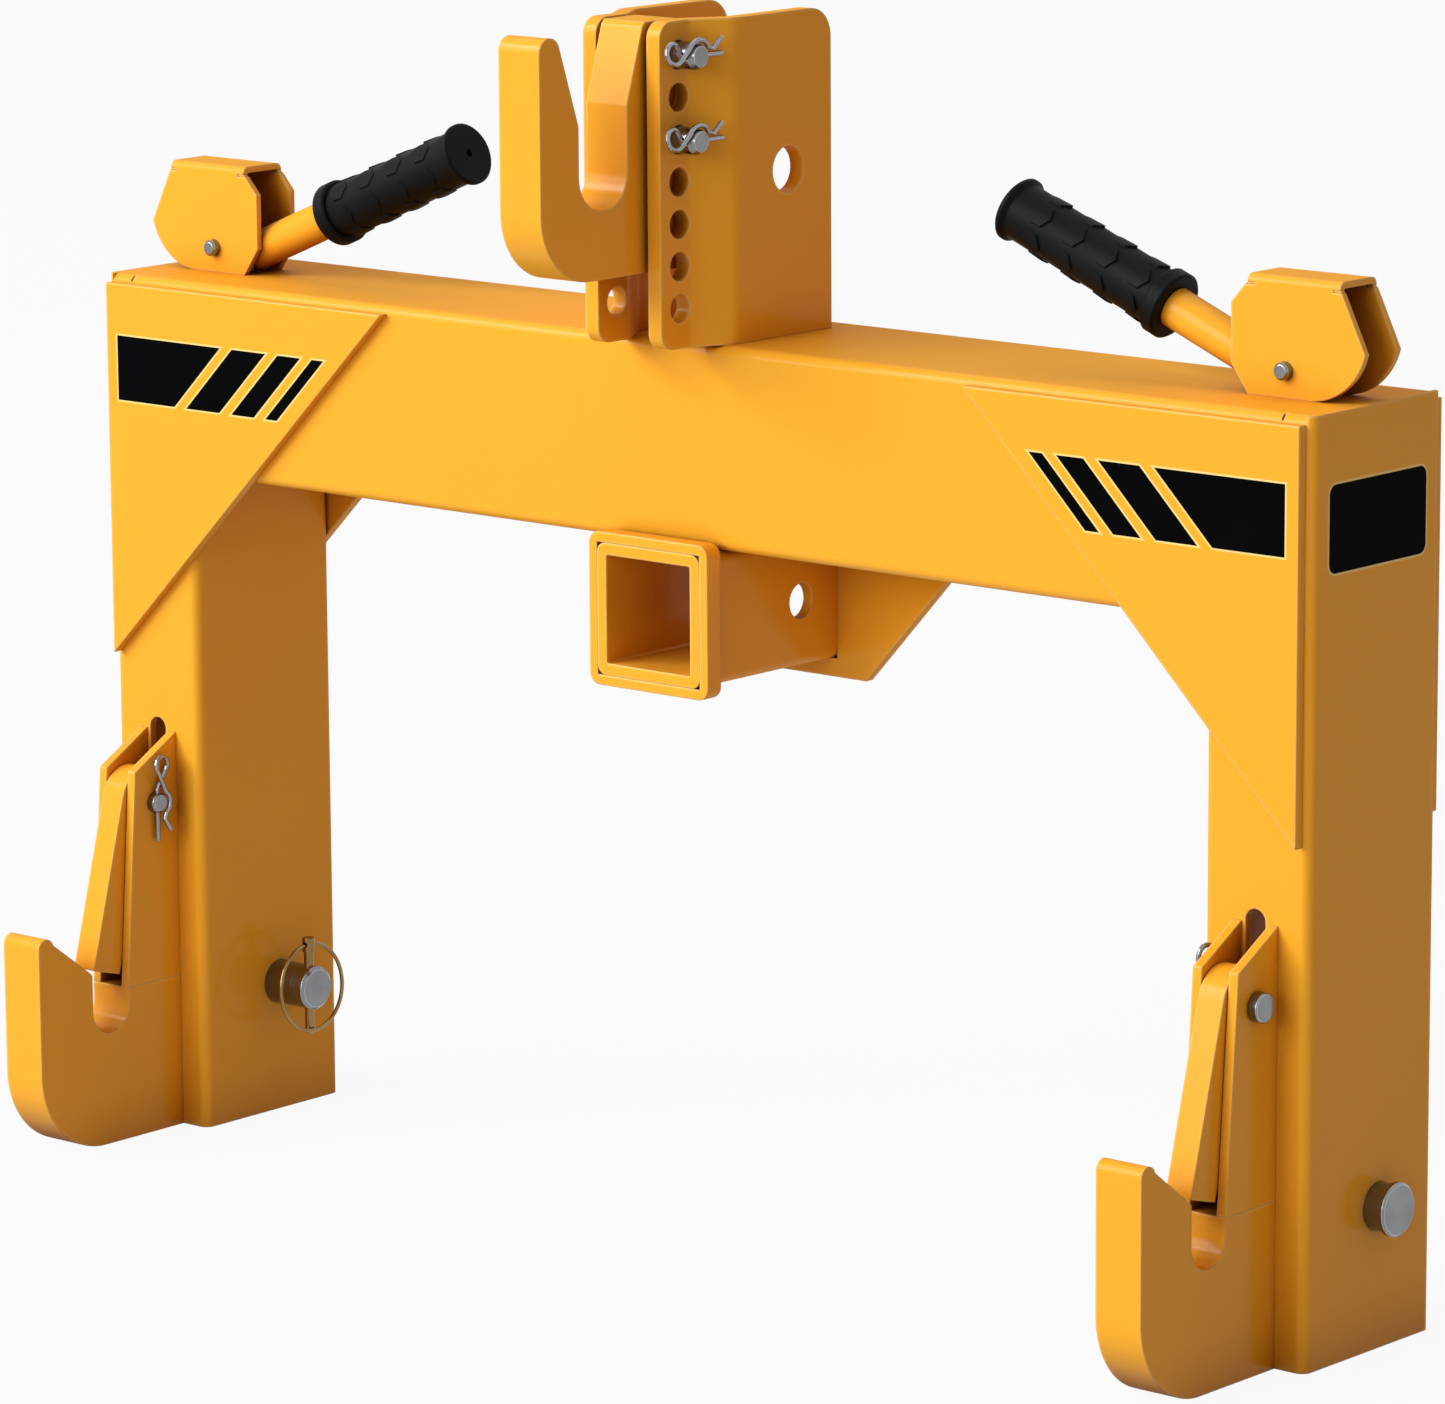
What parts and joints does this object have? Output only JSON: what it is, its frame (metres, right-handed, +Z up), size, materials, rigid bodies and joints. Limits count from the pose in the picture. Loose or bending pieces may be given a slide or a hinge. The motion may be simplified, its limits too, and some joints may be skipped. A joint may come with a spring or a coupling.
{
  "type": "three point receiver hitch",
  "caption": "Tractor quick-hitch frame with latching lower hooks, a pinned top hook, spring-returned release levers and a square receiver tube.",
  "frame": {"origin": "centre of the bounding box on the ground under the lower hooks", "axes": "+X across the hitch to its right as seen from the hooks' side, +Y from the hooks towards the tractor, +Z up"},
  "size_m": [0.768, 0.203, 0.584],
  "materials": {
    "orange_paint": "gloss powder coat",
    "black_rubber": "matt moulded rubber with raised scales",
    "zinc": "clear zinc plating",
    "yellow_zinc": "yellow zinc plating"
  },
  "bodies": {
    "frame": {"cross_beam": "orange_paint", "left_leg": "orange_paint", "right_leg": "orange_paint", "left_front_gusset": "orange_paint", "right_front_gusset": "orange_paint", "left_rear_gusset": "orange_paint", "right_rear_gusset": "orange_paint", "left_hook": "orange_paint", "right_hook": "orange_paint", "left_outer_cheek": "orange_paint", "left_inner_cheek": "orange_paint", "right_outer_cheek": "orange_paint", "right_inner_cheek": "orange_paint", "left_latch_pin": "zinc", "right_latch_pin": "zinc", "left_latch_clip": "zinc", "right_latch_clip": "zinc", "left_lever_bracket": "orange_paint", "right_lever_bracket": "orange_paint", "left_lever_pin": "zinc", "right_lever_pin": "zinc", "left_leg_pin": "zinc", "right_leg_pin": "zinc", "left_lynch_pin": "yellow_zinc", "right_lynch_pin": "yellow_zinc", "receiver_tube": "orange_paint", "receiver_collar": "orange_paint", "receiver_back_plate": "orange_paint", "left_top_plate": "orange_paint", "right_top_plate": "orange_paint", "top_hook": "orange_paint", "top_hook_pins": "zinc", "top_hook_clips": "zinc"},
    "left_lever": {"left_lever": "orange_paint", "left_grip": "black_rubber", "left_lever_link_pin": "zinc"},
    "left_rod": {"left_pull_rod": "zinc", "left_rod_collar": "zinc", "left_return_spring": "zinc"},
    "left_latch": {"left_latch": "orange_paint", "left_latch_link_pin": "zinc"},
    "left_ring": {"left_lynch_ring": "yellow_zinc"},
    "right_lever": {"right_lever": "orange_paint", "right_grip": "black_rubber", "right_lever_link_pin": "zinc"},
    "right_rod": {"right_pull_rod": "zinc", "right_rod_collar": "zinc", "right_return_spring": "zinc"},
    "right_latch": {"right_latch": "orange_paint", "right_latch_link_pin": "zinc"},
    "right_ring": {"right_lynch_ring": "yellow_zinc"}
  },
  "joints": [
    {"name": "left_lever_lift", "type": "hinge", "parent": "frame", "child": "left_lever", "pos_m": [-0.331, 0.048, 0.4444], "axis": [0, -1, 0], "range_deg": [0, 24]},
    {"name": "left_rod_slide", "type": "slide", "parent": "frame", "child": "left_rod", "axis": [0, 0, 1], "range_m": [0, 0.0046], "stiffness_N_per_m": 1500, "springref_m": -0.008, "deforming": ["left_return_spring"]},
    {"name": "left_latch_swing", "type": "hinge", "parent": "frame", "child": "left_latch", "pos_m": [-0.343, -0.0167, 0.1696], "axis": [1, 0, 0], "range_deg": [0, 24]},
    {"name": "left_ring_fold", "type": "hinge", "parent": "frame", "child": "left_ring", "pos_m": [-0.2933, 0.0541, 0.0889], "axis": [0, -1, 0], "range_deg": [0, 165]},
    {"name": "right_lever_lift", "type": "hinge", "parent": "frame", "child": "right_lever", "pos_m": [0.331, 0.048, 0.4444], "axis": [0, 1, 0], "range_deg": [0, 24]},
    {"name": "right_rod_slide", "type": "slide", "parent": "frame", "child": "right_rod", "axis": [0, 0, 1], "range_m": [0, 0.0046], "stiffness_N_per_m": 1500, "springref_m": -0.008, "deforming": ["right_return_spring"]},
    {"name": "right_latch_swing", "type": "hinge", "parent": "frame", "child": "right_latch", "pos_m": [0.343, -0.0167, 0.1696], "axis": [1, 0, 0], "range_deg": [0, 24]},
    {"name": "right_ring_fold", "type": "hinge", "parent": "frame", "child": "right_ring", "pos_m": [0.2933, 0.0541, 0.0889], "axis": [0, 1, 0], "range_deg": [0, 165]}
  ],
  "couplings": [
    {"joint": "left_rod_slide", "follows": "left_lever_lift", "m_per_rad": 0.0109},
    {"joint": "left_latch_swing", "follows": "left_lever_lift", "ratio": 1},
    {"joint": "right_rod_slide", "follows": "right_lever_lift", "m_per_rad": 0.0109},
    {"joint": "right_latch_swing", "follows": "right_lever_lift", "ratio": 1}
  ]
}
